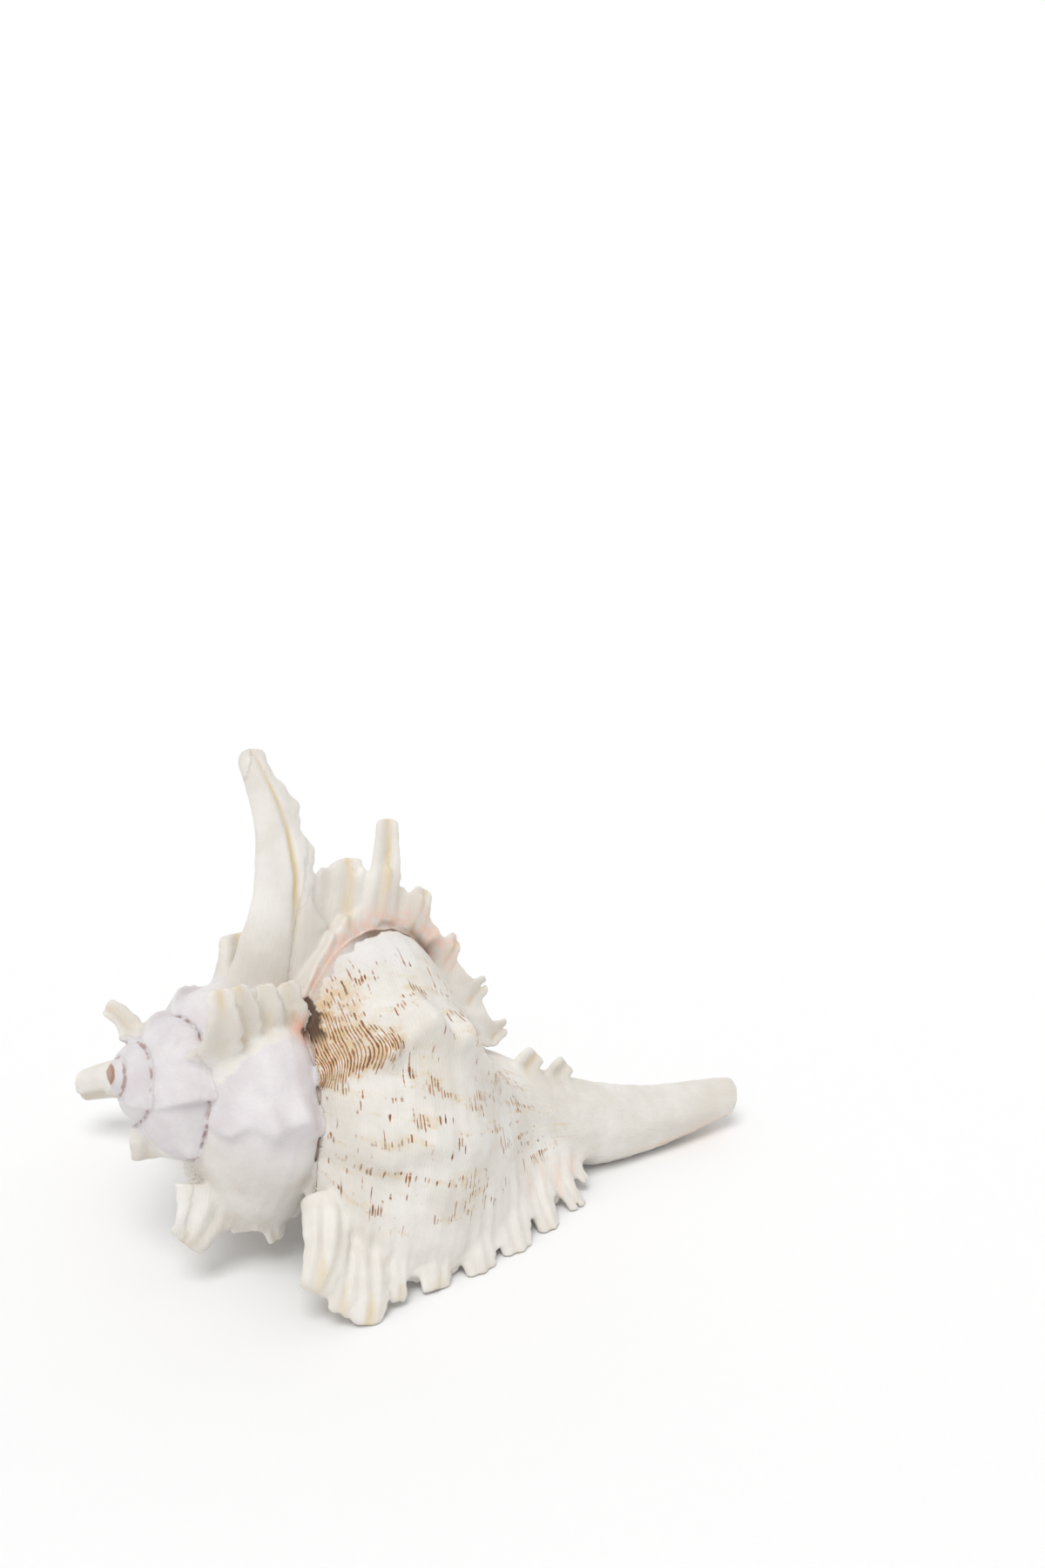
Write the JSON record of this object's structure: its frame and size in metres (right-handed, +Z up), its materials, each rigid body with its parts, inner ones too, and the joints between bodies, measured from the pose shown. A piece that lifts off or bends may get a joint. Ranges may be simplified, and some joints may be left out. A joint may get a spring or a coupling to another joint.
{
  "type": "seashell",
  "caption": "Ramose murex shell: spired whorls, frond-edged ridges, a long upright spine, a round mouth underneath and a tapering open canal.",
  "frame": {"origin": "middle of the outline seen from above, on the ground the shell lies on", "axes": "+Z up, +X towards the canal's side, -Y towards the side with the finished lip"},
  "size_m": [0.1868, 0.1102, 0.1278],
  "materials": {
    "shell": "matt chalky shell, cream white, with brown flecks along fine spiral cords and a pink-orange rim"
  },
  "bodies": {
    "root": {"murex_shell": "shell"}
  },
  "joints": []
}
